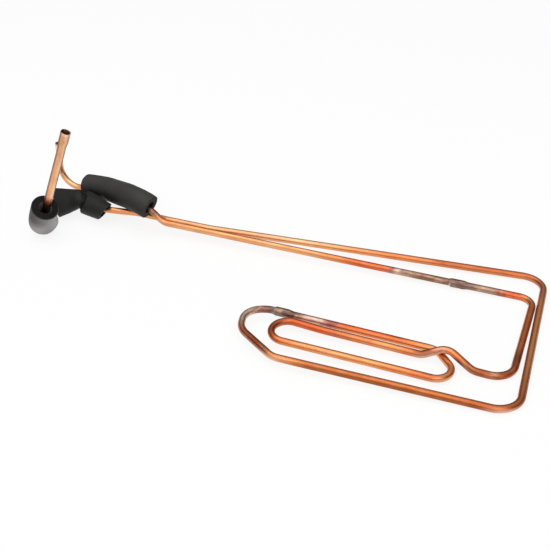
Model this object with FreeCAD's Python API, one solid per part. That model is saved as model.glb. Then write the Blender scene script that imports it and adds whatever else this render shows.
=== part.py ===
import FreeCAD, Part
import math
import os

# Immersion wort chiller: a flat loop of bent copper tube that lies along the bottom of a kettle.
# Water comes down the riser, runs once round the loop and the hairpins inside it, and leaves by
# the outlet. Foam sleeves lie on the tube at the end where it leaves the kettle.
#
# All lengths are in millimetres. The loop is drawn flat: X runs along its back run, Y points away
# from the user, and Z = 0 is the plane of the tubes' centre-lines. The last section tips it by the
# small angle at which it rests on a table, and puts the origin under the middle of it.

V = FreeCAD.Vector

# Copper tube
TUBE_OD = 6.35
TUBE_WALL = 0.762
LAP_GAP = 0.032            # radial gap that the braze fills where one tube is inside another
REST_GAP = 0.3             # air between pieces that lie against each other

# Brazed joints
SOCKET_LENGTH = 11.0
SOCKET_TAPER = 5.0
SOCKET_STOP_GAP = 1.0      # between the end of a tube and the bottom of its socket
FILLET_LENGTH = 2.4        # how far a braze fillet runs along the inner tube
FILLET_EDGE = 0.12         # thickness of a braze fillet at its thin end
FILLET_HOLLOW = 0.3        # thickness of a fillet where it is hollow, as a share of its full height
FILLET_HOLLOW_AT = 0.4     # where that is, as a share of its length
REDUCER_LAP = 10.0         # how far the loop's tube goes into the riser's leg

# Bend radii, at the centre-line
BACK_RIGHT_BEND = 19.0
FRONT_RIGHT_BEND = 20.5
LOOP_BEND = 17.35          # of the loop's other corners
RETURN_BEND = 12.5
HAIRPIN_BEND = 13.9
TIGHT_BEND = 13.0
SHALLOW_BEND = 60.0        # of the slight turns by which a run goes from one straight to the next
SLEEVE_TURN_BEND = 40.0
DOUBLE_LEFT_BEND = 18.0
OVER_PAIR_BEND = 30.0
OUTLET_RUN_BEND = 50.0
CROSSING_BEND = 11.0
CUT_CORNER_BEND = 22.8
JOINT_BEND = 17.0

# Outer loop
BACK_Y = 62.6
RIGHT_X = 235.2
SIDE_LEAN = 15.2           # how far the right side leans in from back to front
FRONT_Y = -128.9
FRONT_LEFT = (28.0, -113.8)
CUT_CORNER = (-7.2, -84.6)
JOINT_CORNER = (-11.9, -55.9)

# Middle double run, from the lower joint to the crossing
DOUBLE_LEFT = (9.0, -52.0)
DOUBLE_SLOPE = -0.1174
DOUBLE_SPACING = 10.48     # in Y, between the two tubes
DOUBLE_TURN_X = 153.1
LOWER_JOINT_X = 15.0       # the socket's mouth

# Front hairpin, which lies between the double run and the front run
HAIRPIN_RIGHT = (181.0, -107.4)
HAIRPIN_LEFT_FRONT = (22.0, -91.1)
HAIRPIN_LEFT_BACK = (10.8, -61.0)
HAIRPIN_JOINS_X = 60.0     # where its back run comes alongside the double run

# Crossing, where one tube of the double run climbs over the other one's bend
CROSSING_START_X = 142.0
CROSSING_TOP = (159.5, -75.6)
CROSSING_RISE = 9.0
CROSSING_FOOT = (185.6, -86.5)
INNER_CORNER = (213.0, -90.8)

# Return run, which comes back inside the loop and lies beside the back run
SIDE_GAP = 9.1             # in X, between the loop's right side and the return run's corner
RETURN_RIGHT_Y = 26.5
PAIR_LEFT_X = -130.4       # left end of the stretch where the two tubes lie side by side
PAIR_RIGHT_X = -85.0
PAIR_LEFT_Y = 60.3
UPPER_JOINT_X = 153.8      # the socket's mouth

# Left end of the back run, on its way to the riser
BACK_KINK = (-160.0, 69.8)
SLEEVE_TURN = (-197.0, 67.7)
KINK_CORNER = (-230.8, 82.7)
KINK_BEND = 17.0
LEG_CORNER = (-250.4, 67.2, -1.2)
LEG_BEND = 13.0
LEG_LENGTH = 28.0          # of the riser's leg, from its corner to its open end

# Riser
RISER_FOOT = (-246.3, 26.8, -3.5)
RISER_BEND = 15.0
RISER_LENGTH = 114.5
RISER_LEAN = (0.360, -0.036)   # X and Y of the riser's direction, a unit vector

# Outlet
CLIMB_TOP = (-141.9, 60.9, 10.4)
CLIMB_BEND = 12.0
OVER_PAIR = (-153.0, 63.4, 14.4)
OVER_END = (-170.4, 73.4, 12.9)
OUTLET_MIDDLE = (-205.8, 98.4, 4.2)
OUTLET_RUN = (-234.5, 106.4, -1.1)
OUTLET_CORNER = (-265.0, 111.0, -6.0)
OUTLET_BEND = 20.0
OUTLET_HEIGHT = 51.0       # from the corner to the open end
OUTLET_LEAN = 1.5          # how far the open end is off upright, in X

# Foam sleeves
ELBOW_OD = 25.8
ELBOW_BORE = 12.6
ELBOW_BEND = 14.0
ELBOW_SHIFT = (0.6, -1.5, -0.2)   # of the sleeve from the tube inside it
ELBOW_TOP = 24.6           # along the riser, from its corner to the middle of the cut end
ELBOW_CUT = (0.467, -0.306, 0.829)   # the way the cut end faces
ELBOW_BACK = 15.0          # along the leg, from its corner to the sleeve's square end
KINKED_OD_LEFT = 29.6      # at the middle of the left end's slanting cut
KINKED_OD_FOLD = 19.8
KINKED_OD_WIDE = 23.8
KINKED_OD_RIGHT = 19.8     # at the middle of the right end's slanting cut
KINKED_BORE = 13.1
KINKED_NECK = 3.0          # from the fold to where the sleeve starts to widen again
KINKED_FLARE = 6.0         # from there to where it is widest
KINKED_LEFT = (-248.6, 68.1, -0.2)
KINKED_FOLD = (-230.5, 80.9, -0.2)
KINKED_RIGHT = (-196.5, 67.6, -2.2)
KINKED_LEFT_CUT = (-0.898, -0.419, -0.130)   # the way the left end's slanting cut faces
KINKED_RIGHT_CUT = (0.822, -0.213, -0.528)
LONG_OD = 24.6
LONG_BORE = 12.2
LONG_LIFT = 2.6            # of the sleeve above the tube inside it
LONG_START = 3.4           # along the tube, from the top of its climb
LONG_END_X = -231.5

# Worked out from the sizes above
TUBE_R = TUBE_OD / 2
TUBE_IR = TUBE_R - TUBE_WALL
RISER_IR = TUBE_R + LAP_GAP
RISER_R = RISER_IR + TUBE_WALL          # also of the loop's sockets, which take the same tube
BELL_LENGTH = SOCKET_LENGTH + SOCKET_TAPER
SOCKET_REACH = SOCKET_LENGTH - SOCKET_STOP_GAP   # how far a tube goes into a socket
CUT_BLOCK = 4 * ELBOW_OD   # side of the block that cuts a sleeve's slanting end
REST_STEPS = 4             # tries to find the angle at which the loop rests


def flat(point, height=0.0):
    """A point of the loop's plan, at a height above its plane."""
    return V(point[0], point[1], height)


def unit(vector):
    return vector / vector.Length


def on_line(start, end, x):
    """The point at x on the straight line through two points."""
    return start + (end - start) * ((x - start.x) / (end.x - start.x))


def bend(before, corner, after, radius):
    """Start, middle and end of the arc that rounds a corner, touching both of its runs."""
    back = unit(before - corner)
    ahead = unit(after - corner)
    half = back.getAngle(ahead) / 2
    tangent = radius / math.tan(half)
    inward = unit(back + ahead)
    middle = corner + inward * (radius / math.sin(half) - radius)
    return corner + back * tangent, middle, corner + ahead * tangent


def route(points, radii):
    """A wire of straight runs through the points, joined by arcs of the given radii."""
    edges = []
    at = points[0]
    for before, corner, after, radius in zip(points, points[1:], points[2:], radii):
        start, middle, end = bend(before, corner, after, radius)
        edges.append(Part.LineSegment(at, start).toShape())
        edges.append(Part.Arc(start, middle, end).toShape())
        at = end
    edges.append(Part.LineSegment(at, points[-1]).toShape())
    return Part.Wire(edges)


def rod(points, radii, radius):
    """A round bar along the route."""
    path = route(points, radii)
    disc = Part.Face(Part.Wire([Part.makeCircle(radius, points[0], points[1] - points[0])]))
    return path.makePipe(disc)


def pipe(points, radii, outer, inner):
    """A tube along the route, open at both ends."""
    return rod(points, radii, outer).cut(rod(points, radii, inner))


def turned(profile, origin, axis):
    """A ring turned from a closed profile of (radius, distance along the axis) points."""
    outline = Part.makePolygon([V(r, 0, s) for r, s in profile + profile[:1]])
    ring = Part.Face(outline).revolve(V(0, 0, 0), V(0, 0, 1), 360)
    ring.Placement = FreeCAD.Placement(origin, FreeCAD.Rotation(V(0, 0, 1), axis))
    return ring


def socket(mouth, inward, outer, inner):
    """The belled end of a tube, which takes a tube of the same size, down to where the bell ends."""
    bore = outer + LAP_GAP
    bell = bore + TUBE_WALL
    profile = [(bore, 0), (bell, 0), (bell, SOCKET_LENGTH), (outer, BELL_LENGTH), (inner, BELL_LENGTH),
               (bore, SOCKET_LENGTH)]
    return turned(profile, mouth, inward)


def braze(mouth, outward, inner, outer):
    """The fillet of filler metal round a tube, against the face of what it goes into."""
    edge = inner + FILLET_EDGE
    hollow = inner + (outer - inner) * FILLET_HOLLOW
    profile = [(inner, 0), (outer, 0), (hollow, FILLET_LENGTH * FILLET_HOLLOW_AT),
               (edge, FILLET_LENGTH), (inner, FILLET_LENGTH)]
    return turned(profile, mouth, outward)


def cut_off(solid, point, facing):
    """What is left of a solid when all that lies past a plane is cut off."""
    size = CUT_BLOCK
    block = Part.makeBox(size, size, size, V(-size / 2, -size / 2, 0))
    block.Placement = FreeCAD.Placement(point, FreeCAD.Rotation(V(0, 0, 1), facing))
    return solid.cut(block)


# Lines that several tubes share
pair_left = V(PAIR_LEFT_X, PAIR_LEFT_Y, 0)
return_corner = V(RIGHT_X - SIDE_GAP, RETURN_RIGHT_Y, 0)
double_left = flat(DOUBLE_LEFT)
double_turn = V(DOUBLE_TURN_X, double_left.y + DOUBLE_SLOPE * (DOUBLE_TURN_X - double_left.x), 0)
double_step = V(0, -DOUBLE_SPACING, 0)

lower_mouth = on_line(double_left, double_turn, LOWER_JOINT_X)
lower_in = unit(double_turn - double_left)
upper_mouth = on_line(pair_left, return_corner, UPPER_JOINT_X)
upper_in = unit(return_corner - pair_left)
pair_step = V(-upper_in.y, upper_in.x, 0) * (TUBE_OD + REST_GAP)

riser_foot = V(*RISER_FOOT)
leg_corner = V(*LEG_CORNER)
riser_up = V(RISER_LEAN[0], RISER_LEAN[1], math.sqrt(1 - RISER_LEAN[0] ** 2 - RISER_LEAN[1] ** 2))
leg_out = unit(leg_corner - riser_foot)
leg_end = riser_foot + leg_out * LEG_LENGTH


def riser_tube():
    mouth = riser_foot + riser_up * RISER_LENGTH
    points = [leg_end, riser_foot, mouth - riser_up * BELL_LENGTH]
    body = pipe(points, [RISER_BEND], RISER_R, RISER_IR)
    return body.fuse(socket(mouth, riser_up * -1, RISER_R, RISER_IR)).removeSplitter()


def feed_route():
    """From inside the riser's leg, round the outer loop, to inside the lower joint's socket."""
    beside = [on_line(pair_left, return_corner, x) + pair_step for x in (PAIR_LEFT_X, PAIR_RIGHT_X)]
    points = [leg_end - leg_out * REDUCER_LAP, leg_corner, flat(KINK_CORNER), flat(SLEEVE_TURN),
              flat(BACK_KINK), beside[0], beside[1], V(RIGHT_X, BACK_Y, 0),
              V(RIGHT_X - SIDE_LEAN, FRONT_Y, 0), flat(FRONT_LEFT), flat(CUT_CORNER),
              flat(JOINT_CORNER), double_left, lower_mouth + lower_in * SOCKET_REACH]
    radii = [LEG_BEND, KINK_BEND, SLEEVE_TURN_BEND, SHALLOW_BEND, SHALLOW_BEND, SHALLOW_BEND,
             BACK_RIGHT_BEND, FRONT_RIGHT_BEND, LOOP_BEND, CUT_CORNER_BEND, JOINT_BEND, DOUBLE_LEFT_BEND]
    return points, radii


def coil_route():
    """From the lower joint, by the hairpins and the crossing, to the upper joint."""
    points = [lower_mouth + lower_in * BELL_LENGTH, double_turn, flat(HAIRPIN_RIGHT),
              flat(HAIRPIN_LEFT_FRONT), flat(HAIRPIN_LEFT_BACK),
              on_line(double_left, double_turn, HAIRPIN_JOINS_X) + double_step,
              on_line(double_left, double_turn, CROSSING_START_X) + double_step,
              flat(CROSSING_TOP, CROSSING_RISE), flat(CROSSING_FOOT), flat(INNER_CORNER),
              return_corner, upper_mouth + upper_in * BELL_LENGTH]
    radii = [TIGHT_BEND, TIGHT_BEND, HAIRPIN_BEND, HAIRPIN_BEND, SHALLOW_BEND, CROSSING_BEND,
             CROSSING_BEND, CROSSING_BEND, LOOP_BEND, RETURN_BEND]
    return points, radii


def return_route():
    """From inside the upper joint's socket to the outlet's open end."""
    corner = V(*OUTLET_CORNER)
    points = [upper_mouth + upper_in * SOCKET_REACH, pair_left, V(*CLIMB_TOP),
              V(*OVER_PAIR), V(*OVER_END), V(*OUTLET_MIDDLE), V(*OUTLET_RUN), corner,
              corner + V(OUTLET_LEAN, 0, OUTLET_HEIGHT)]
    radii = [CLIMB_BEND, CLIMB_BEND, OVER_PAIR_BEND, OUTLET_RUN_BEND, OUTLET_RUN_BEND, OUTLET_RUN_BEND,
             OUTLET_BEND]
    return points, radii


def feed_tube():
    return pipe(*feed_route(), TUBE_R, TUBE_IR)


def coil_tube():
    body = pipe(*coil_route(), TUBE_R, TUBE_IR)
    lower = socket(lower_mouth, lower_in, TUBE_R, TUBE_IR)
    upper = socket(upper_mouth, upper_in, TUBE_R, TUBE_IR)
    return body.fuse([lower, upper]).removeSplitter()


def return_tube():
    return pipe(*return_route(), TUBE_R, TUBE_IR)


def elbow_sleeve():
    """Foam over the riser's bend, cut off at a slant where the riser comes out of it."""
    shift = V(*ELBOW_SHIFT)
    corner = riser_foot + shift
    points = [corner + leg_out * ELBOW_BACK, corner, corner + riser_up * (ELBOW_TOP + ELBOW_OD)]
    whole = pipe(points, [ELBOW_BEND], ELBOW_OD / 2, ELBOW_BORE / 2)
    return cut_off(whole, corner + riser_up * ELBOW_TOP, V(*ELBOW_CUT))


def folded(fold, ways, profiles):
    """Two turned bodies on both sides of a fold, each cut off at the fold's plane."""
    seam = unit(ways[1] - ways[0])
    left = cut_off(turned(profiles[0], fold, ways[0]), fold, seam)
    right = cut_off(turned(profiles[1], fold, ways[1]), fold, seam * -1)
    return left.fuse(right)


def kinked_sleeve():
    """Foam that folds where the tube inside it turns, narrow at the fold and wide on both sides."""
    fold = V(*KINKED_FOLD)
    back = V(*KINKED_LEFT) - fold
    ahead = V(*KINKED_RIGHT) - fold
    ways = (unit(back), unit(ahead))
    neck = KINKED_OD_FOLD / 2
    widest = KINKED_NECK + KINKED_FLARE
    past = neck                                  # what is drawn past the fold and the cuts
    widening = (KINKED_OD_LEFT / 2 - neck) / back.Length
    narrowing = (KINKED_OD_WIDE - KINKED_OD_RIGHT) / 2 / (ahead.Length - widest)
    left_end = back.Length + past
    right_end = ahead.Length + past
    start = [(0, -past), (neck, -past)]
    left = start + [(neck, 0), (neck + widening * left_end, left_end), (0, left_end)]
    right = start + [(neck, KINKED_NECK), (KINKED_OD_WIDE / 2, widest),
                     (KINKED_OD_RIGHT / 2 - narrowing * past, right_end), (0, right_end)]
    hole = [(0, -past), (KINKED_BORE / 2, -past), (KINKED_BORE / 2, right_end), (0, right_end)]
    whole = folded(fold, ways, (left, right)).cut(folded(fold, ways, (hole, hole)))
    cut = cut_off(whole, V(*KINKED_LEFT), V(*KINKED_LEFT_CUT))
    return cut_off(cut, V(*KINKED_RIGHT), V(*KINKED_RIGHT_CUT))


def long_sleeve():
    """Foam over the outlet's run, which lies on the tube and behind the kinked sleeve."""
    lift = V(0, 0, LONG_LIFT)
    top = V(*CLIMB_TOP)
    start = top + unit(V(*OVER_PAIR) - top) * LONG_START
    end = on_line(V(*OUTLET_MIDDLE), V(*OUTLET_RUN), LONG_END_X)
    middle = [start, V(*OVER_PAIR), V(*OVER_END), V(*OUTLET_MIDDLE), end]
    points = [point + lift for point in middle]
    radii = [OVER_PAIR_BEND, OUTLET_RUN_BEND, OUTLET_RUN_BEND]
    return pipe(points, radii, LONG_OD / 2, LONG_BORE / 2)


def chiller():
    return {
        "riser_tube": riser_tube(),
        "feed_tube": feed_tube(),
        "coil_tube": coil_tube(),
        "return_tube": return_tube(),
        "reducer_braze": braze(leg_end, leg_out, TUBE_R, RISER_R),
        "lower_joint_braze": braze(lower_mouth, lower_in * -1, TUBE_R, RISER_R),
        "upper_joint_braze": braze(upper_mouth, upper_in * -1, TUBE_R, RISER_R),
        "elbow_sleeve": elbow_sleeve(),
        "kinked_sleeve": kinked_sleeve(),
        "long_sleeve": long_sleeve(),
    }


def at_rest(solids):
    """Tips the loop about its right side until the elbow sleeve is as low as that side is, and puts
    the origin under the middle of it."""
    front_right = V(RIGHT_X - SIDE_LEAN, FRONT_Y, 0)
    side = unit(V(RIGHT_X, BACK_Y, 0) - front_right)
    span = (front_right - riser_foot).cross(side).Length
    angle = 0.0
    for _ in range(REST_STEPS):
        tipped = FreeCAD.Placement(V(0, 0, 0), FreeCAD.Rotation(side, math.degrees(angle)), front_right)
        sleeve = solids["elbow_sleeve"].copy()
        sleeve.Placement = tipped.multiply(sleeve.Placement)
        angle -= (sleeve.optimalBoundingBox(False).ZMin + TUBE_R) / span
    for solid in solids.values():
        solid.Placement = tipped.multiply(solid.Placement)
    box = Part.makeCompound(list(solids.values())).optimalBoundingBox(False)
    home = FreeCAD.Placement(V(-box.Center.x, -box.Center.y, -box.ZMin), FreeCAD.Rotation())
    for solid in solids.values():
        solid.Placement = home.multiply(solid.Placement)
    return home.multiply(tipped)


os.makedirs("parts", exist_ok=True)
nodes = chiller()
placed = at_rest(nodes)
for name, solid in nodes.items():
    solid.exportStep("parts/" + name + ".step")
    print(name, solid.isValid(), len(solid.Solids), round(solid.Volume, 1))
print("placement", placed)
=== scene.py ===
import math

import bpy
import numpy as np
from mathutils import Euler, Matrix, Vector, noise

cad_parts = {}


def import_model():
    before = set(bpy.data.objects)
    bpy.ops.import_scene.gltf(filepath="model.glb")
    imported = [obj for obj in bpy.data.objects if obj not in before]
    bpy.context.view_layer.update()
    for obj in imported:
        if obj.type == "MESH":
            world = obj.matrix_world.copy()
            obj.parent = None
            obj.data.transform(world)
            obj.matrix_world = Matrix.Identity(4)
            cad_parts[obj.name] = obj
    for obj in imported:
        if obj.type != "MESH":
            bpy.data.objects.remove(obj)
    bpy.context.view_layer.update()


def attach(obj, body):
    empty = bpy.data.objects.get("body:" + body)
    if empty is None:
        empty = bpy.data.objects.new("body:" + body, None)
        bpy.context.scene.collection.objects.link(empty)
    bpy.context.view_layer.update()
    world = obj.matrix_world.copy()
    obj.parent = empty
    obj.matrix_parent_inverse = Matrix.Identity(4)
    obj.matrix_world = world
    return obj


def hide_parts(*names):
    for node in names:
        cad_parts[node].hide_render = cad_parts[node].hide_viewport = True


# Immersion wort chiller of bent copper tube with foam sleeves, on a white table.
# Lengths are in millimetres in the loop's own frame, the one that the solids are drawn in: X along
# the back run, Y away from the front run, Z up, and Z = 0 through the tubes' centre-lines.
# "home" puts that frame on the table, in metres.

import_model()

MM = 0.001
REST_PLACE = (15.0984, 6.55602, 9.24982)
REST_TILT = (0.120038, 1.51197, 0.00158392)     # degrees about X, then Y, then Z

home = (Matrix.Translation(Vector(REST_PLACE) * MM)
        @ Euler([math.radians(a) for a in REST_TILT], "XYZ").to_matrix().to_4x4()
        @ Matrix.Scale(MM, 4))

# Camera, in a frame turned from the loop's about Z
IMAGE = 550.0               # pixels, the image's side
FOCAL = 915.07              # pixels
OFF_CENTRE = 0.5            # pixels, of the optical axis, to the right and down
PITCH = 33.34               # degrees below level
ROLL = -0.870               # degrees
DISTANCE = 823.66           # millimetres, to the loop's origin
LOOP_TURN = 14.8            # degrees about Z, from the loop's frame to the camera's
SENSOR = 36.0               # millimetres
CLIP = (0.01, 50.0)         # metres

# Tubes
TUBE_R = 3.175
TUBE_WALL = 0.762
LAP_GAP = 0.032             # all round a tube in its socket
REST_GAP = 0.3              # between two tubes that lie side by side
BELL_BORE = TUBE_R + LAP_GAP
BELL_R = BELL_BORE + TUBE_WALL
BORE_R = TUBE_R - TUBE_WALL
RISER_R = BELL_R
RISER_BORE = BELL_BORE
RISER_BELL_BORE = RISER_R + LAP_GAP
RISER_BELL_R = RISER_BELL_BORE + TUBE_WALL
SOCKET = 11.0               # depth of a socket
TAPER = 5.0                 # from a socket to the plain tube
SOCKET_REACH = 10.0         # how far a tube goes into a socket
TAPER_LEAD = 0.6            # how far before the socket's depth the taper starts
CUT_EDGE = 0.16             # radius of a cut end's edges
CUT_ARC = (0, 30, 60, 90)   # degrees round that edge

# Loop, in X and Y, or one of them
PAIR_LEFT = (-130.4, 60.3)
PAIR_RIGHT_X = -85.0
RETURN_CORNER = (226.1, 26.5)
UPPER_JOINT_X = 153.8
DOUBLE_LEFT = (9.0, -52.0)
DOUBLE_SLOPE = -0.1174
DOUBLE_SPACING = 10.48
DOUBLE_TURN_X = 153.1
LOWER_JOINT_X = 15.0
HAIRPIN_JOINS_X = 60.0
CROSSING_START_X = 142.0

# Riser and its leg
RISER_FOOT = (-246.3, 26.8, -3.5)
LEG_CORNER = (-250.4, 67.2, -1.2)
LEG_LENGTH = 28.0
REDUCER_LAP = 10.0
RISER_LENGTH = 114.5
RISER_LEAN = (0.360, -0.036)


def vec(*values):
    return np.array(values, float)


def flat(x, y, z=0.0):
    return vec(x, y, z)


def unit(v):
    return v / np.linalg.norm(v)


def on_line(start, end, x):
    return start + (end - start) * ((x - start[0]) / (end[0] - start[0]))


pair_left = flat(*PAIR_LEFT)
return_corner = flat(*RETURN_CORNER)
double_left = flat(*DOUBLE_LEFT)
double_turn = flat(DOUBLE_TURN_X, double_left[1] + DOUBLE_SLOPE * (DOUBLE_TURN_X - double_left[0]))
lower_mouth = on_line(double_left, double_turn, LOWER_JOINT_X)
lower_in = unit(double_turn - double_left)
upper_mouth = on_line(pair_left, return_corner, UPPER_JOINT_X)
upper_in = unit(return_corner - pair_left)
pair_step = vec(-upper_in[1], upper_in[0], 0) * (2 * TUBE_R + REST_GAP)
double_step = vec(0, -DOUBLE_SPACING, 0)
riser_foot = vec(*RISER_FOOT)
leg_corner = vec(*LEG_CORNER)
riser_up = vec(*RISER_LEAN, math.sqrt(1 - RISER_LEAN[0] ** 2 - RISER_LEAN[1] ** 2))
leg_out = unit(leg_corner - riser_foot)
leg_end = riser_foot + leg_out * LEG_LENGTH
riser_mouth = riser_foot + riser_up * RISER_LENGTH


# Routes and swept skins

def smooth(x, low, high):
    t = np.clip((x - low) / (high - low), 0.0, 1.0)
    return t * t * (3 - 2 * t)


class Route:
    """Straight runs joined by arcs, with a frame that doesn't twist, sampled finely."""

    STEP = 0.5          # between samples
    FADE = 3.0          # how far a bend's effect on the section reaches along the runs

    def __init__(self, points, radii):
        places, inward, at = [], [], points[0]
        zero = np.zeros(3)

        def run(end):
            count = max(2, int(np.linalg.norm(end - at) / self.STEP))
            for k in range(count):
                places.append(at + (end - at) * (k / count))
                inward.append(zero)

        for before, corner, after, radius in zip(points, points[1:], points[2:], radii):
            back, ahead = unit(before - corner), unit(after - corner)
            half = math.acos(np.clip(back @ ahead, -1, 1)) / 2
            tangent = radius / math.tan(half)
            start = corner + back * tangent
            middle = corner + unit(back + ahead) * (radius / math.sin(half))
            run(start)
            out, along = unit(start - middle), -back
            turn = math.pi - 2 * half
            count = max(4, int(turn * radius / self.STEP))
            for k in range(count):
                a = turn * k / count
                radial = out * math.cos(a) + along * math.sin(a)
                places.append(middle + radial * radius)
                inward.append(-radial * min(1.0, turn) / radius)
            at = corner + ahead * tangent
        run(points[-1])
        places.append(points[-1])
        inward.append(zero)
        self.p = np.array(places)
        self.curve = np.array(inward)
        step = np.linalg.norm(np.diff(self.p, axis=0), axis=1)
        self.s = np.concatenate([[0.0], np.cumsum(step)])
        self.length = self.s[-1]
        self.t = np.gradient(self.p, self.s, axis=0)
        self.t /= np.linalg.norm(self.t, axis=1)[:, None]
        frames = [unit(np.cross(np.cross(self.t[0], vec(0, 0, 1)), self.t[0]))]
        for t in self.t[1:]:
            n = frames[-1] - t * (frames[-1] @ t)
            frames.append(unit(n))
        self.n = np.array(frames)
        self.b = np.cross(self.t, self.n)
        self.fade_curve()

    def fade_curve(self):
        """Lets the bend's effect on the section fade in and out a little way along the runs."""
        reach = int(self.FADE / self.STEP)
        kernel = np.hanning(2 * reach + 3)
        kernel /= kernel.sum()
        self.curve = np.column_stack(
            [np.convolve(self.curve[:, k], kernel, "same") for k in range(3)])

    def read(self, table, s):
        """A value of the table at each s, past the ends too, where the route goes on straight."""
        return np.stack([np.interp(s, self.s, table[:, k]) for k in range(3)], -1)

    def place(self, s, angle, radius):
        """Points at arc-length s, turned by an angle round the centre-line, at a radius from it."""
        over = np.where(s < 0, s, np.where(s > self.length, s - self.length, 0.0))
        middle = self.read(self.p, s) + self.read(self.t, s) * over[..., None]
        c, d = np.cos(angle)[..., None], np.sin(angle)[..., None]
        return middle + (self.read(self.n, s) * c + self.read(self.b, s) * d) * radius[..., None]

    def outward(self, s, angle):
        """The way the skin faces at arc-length s and an angle round the centre-line."""
        c, d = np.cos(angle)[..., None], np.sin(angle)[..., None]
        return self.read(self.n, s) * c + self.read(self.b, s) * d

    def bend_at(self, s, angle):
        """How far a point of the skin is on the inside of a bend (+) or on its outside (-), per mm."""
        return np.sum(self.read(self.curve, s) * self.outward(s, angle), -1)


def shell(name, rings, extra):
    """A mesh from rings of points, closed round each ring and from the last ring to the first."""
    rows, cols = rings.shape[:2]
    world = np.array(home)
    points = rings.reshape(-1, 3) @ world[:3, :3].T + world[:3, 3]
    points[:, 2] = np.maximum(points[:, 2], 0.0)      # foam that rests on the table is flat there
    faces = []
    for i in range(rows):
        j = (i + 1) % rows
        for k in range(cols):
            m = (k + 1) % cols
            faces.append((i * cols + k, j * cols + k, j * cols + m, i * cols + m))
    mesh = bpy.data.meshes.new(name)
    mesh.from_pydata(points.tolist(), [], faces)
    for key, values in extra.items():
        values = values.reshape(rows * cols, -1).astype(np.float32)
        kind = "FLOAT_VECTOR" if values.shape[1] == 3 else "FLOAT"
        layer = mesh.attributes.new(key, kind, "POINT")
        layer.data.foreach_set("vector" if values.shape[1] == 3 else "value", values.ravel())
    mesh.polygons.foreach_set("use_smooth", [True] * len(mesh.polygons))
    mesh.update()
    piece = bpy.data.objects.new(name, mesh)
    bpy.context.scene.collection.objects.link(piece)
    volume = 0.0
    for poly in mesh.polygons:
        a, b, c = (mesh.vertices[poly.vertices[k]].co for k in (0, 1, 2))
        d = mesh.vertices[poly.vertices[3]].co
        volume += a.dot(b.cross(c)) + a.dot(c.cross(d))
    if volume < 0:
        mesh.flip_normals()
    return piece


# Copper tubes

SIDES = 36
OVAL = 0.9          # how much a bend flattens the tube, as a share of its radius over the bend's
OVAL_SPREAD = 0.30  # how much of that comes back as width, all round
RING_STEP = 3.0     # between rings on a straight run
FINE_STEP = 1.2     # between rings in a bend and near an end
NEAR_END = 20
STRAIGHT = 1e-4     # less curve than this, per mm, counts as straight


def bell(s, mouth, way, tube, belled):
    """Radius of a tube with a socket that starts at "mouth" and runs "way" along it."""
    d = (s - mouth) * way
    return tube + (belled - tube) * (1 - smooth(d, SOCKET - TAPER_LEAD, SOCKET + TAPER))


def tube(name, route, outer, inner):
    """A drawn tube with its bore, its cut ends slightly rounded, and its bends slightly flattened."""
    length = route.length
    stations = [0.0]
    turning = np.linalg.norm(route.curve, axis=1)
    while stations[-1] < length - 1.0:
        s = stations[-1]
        bent = max(np.interp((s, s + RING_STEP / 2), route.s, turning)) > STRAIGHT
        near = min(s, length - s) < NEAR_END
        stations.append(s + (FINE_STEP if bent or near else RING_STEP))
    stations[-1] = length
    s = np.array(stations)
    angle = np.arange(SIDES) / SIDES * 2 * math.pi
    grid_s, grid_a = np.meshgrid(s, angle, indexing="ij")

    def surface(radius, grid_s, grid_a):
        pull = route.bend_at(grid_s, grid_a)
        k = np.linalg.norm(route.read(route.curve, grid_s), axis=-1)
        squeeze = OVAL * (k * OVAL_SPREAD - np.abs(pull))
        return route.place(grid_s, grid_a, radius * (1 + squeeze))

    out_r, in_r = outer(grid_s), inner(grid_s)
    rows, along, face = [], [], []

    def add(grid_s, radius):
        around = grid_a[:len(grid_s)]
        rows.append(surface(radius, grid_s, around))
        face.append(route.outward(grid_s, around))
        along.append(np.stack([grid_s, radius * np.cos(around), radius * np.sin(around)], -1))

    def end(s_end, way, r_out, r_in):
        """Rings over a cut end, from the outside edge to the inside one at the far end (way -1), and
        the other way round at the near end (way 1)."""
        steps = []
        for radius, inset, arc in ((r_out, -CUT_EDGE, CUT_ARC), (r_in, CUT_EDGE, reversed(CUT_ARC))):
            for a in map(math.radians, arc):
                steps.append((way * CUT_EDGE * (1 - math.sin(a)), radius + inset * (1 - math.cos(a))))
        for ds, r in steps[::-way]:
            add(np.full((1, SIDES), s_end + ds), np.broadcast_to(r, (1, SIDES)))

    inside = slice(1, -1)
    end(0.0, 1, out_r[0], in_r[0])
    add(grid_s[inside], out_r[inside])
    end(length, -1, out_r[-1], in_r[-1])
    add(grid_s[inside][::-1], in_r[inside][::-1])
    piece = shell(name, np.concatenate(rows),
                  {"run": np.concatenate(along), "face": np.concatenate(face)})
    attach(piece, "root")
    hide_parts(name.replace("copper_", ""))
    return piece


RISER_BEND = 15.0
RISER_SHIFT = (0.6, 0.1, 0.0)       # of the riser's axis from its solid's, as the photo has it
DOUBLE_TURN_SHIFT = (0.0, 0.6, 0.0)     # of the coil's first corner, the same way


def bent_route(start, corners, end):
    """A route from start to end, with its corners as (place, radius of the bend)."""
    places, radii = zip(*corners)
    return Route([start, *places, end], radii)


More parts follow.
